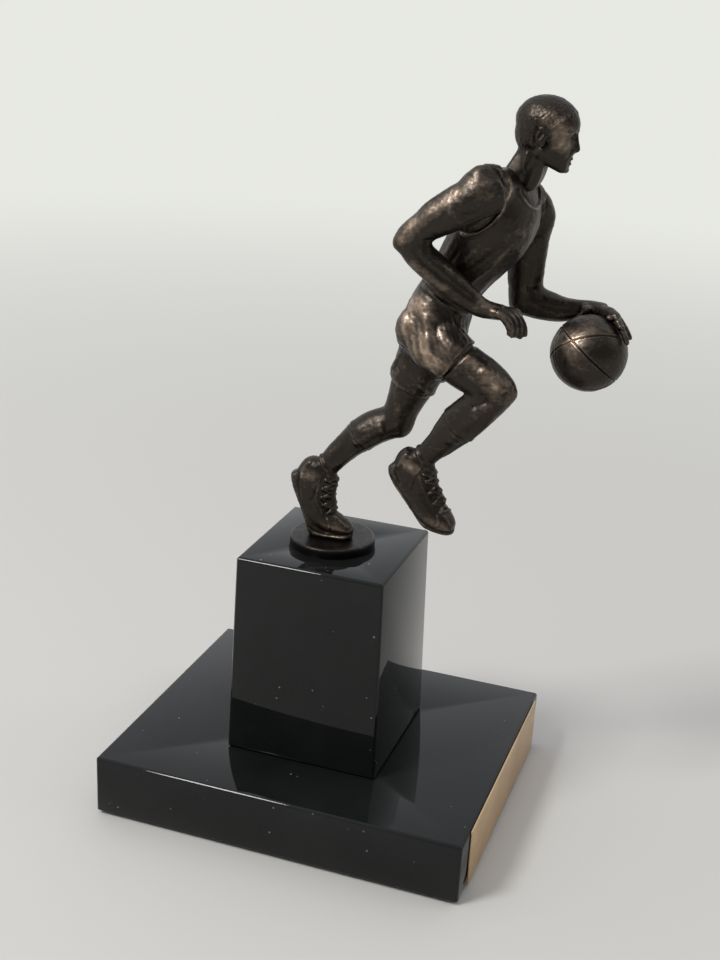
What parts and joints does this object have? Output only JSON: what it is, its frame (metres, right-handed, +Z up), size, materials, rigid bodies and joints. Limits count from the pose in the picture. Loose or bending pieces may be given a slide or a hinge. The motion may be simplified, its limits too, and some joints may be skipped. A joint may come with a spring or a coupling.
{
  "type": "basketball player trophy on a stone base",
  "caption": "Sports trophy: cast bronze-toned player running with a ball on a disc, bolted to a black polished stone column and slab with a bare nameplate",
  "frame": {"origin": "middle of the flat underside of the felt pad, on the table", "axes": "+X towards the short end of the slab that carries the nameplate, which is the way the player runs; +Y towards the long side away from the viewer, the player's left; +Z up"},
  "size_m": [0.1825, 0.127, 0.2901],
  "materials": {
    "felt": "short black felt",
    "black_stone": "polished black marble with eased edges",
    "nameplate_metal": "satin tan brass sheet, nothing engraved",
    "adhesive_foam": "thin double-sided tape",
    "zinc_steel": "bright zinc-plated steel",
    "dark_bronze": "dark bronze-toned plate with a rubbed rim",
    "bronze_patina": "dark brown bronze-toned patina, satin, rubbed to copper on the high places"
  },
  "bodies": {
    "root": {"felt_pad": "felt", "slab": "black_stone", "nameplate": "nameplate_metal", "nameplate_adhesive": "adhesive_foam", "column": "black_stone", "hex_nut": "zinc_steel", "spring_washer": "zinc_steel", "flat_washer": "zinc_steel", "tie_rod": "zinc_steel", "figure_disc": "dark_bronze", "left_leg": "bronze_patina", "right_leg": "bronze_patina", "torso": "bronze_patina", "head": "bronze_patina", "right_arm": "bronze_patina", "left_arm": "bronze_patina", "ball": "bronze_patina"}
  },
  "joints": []
}
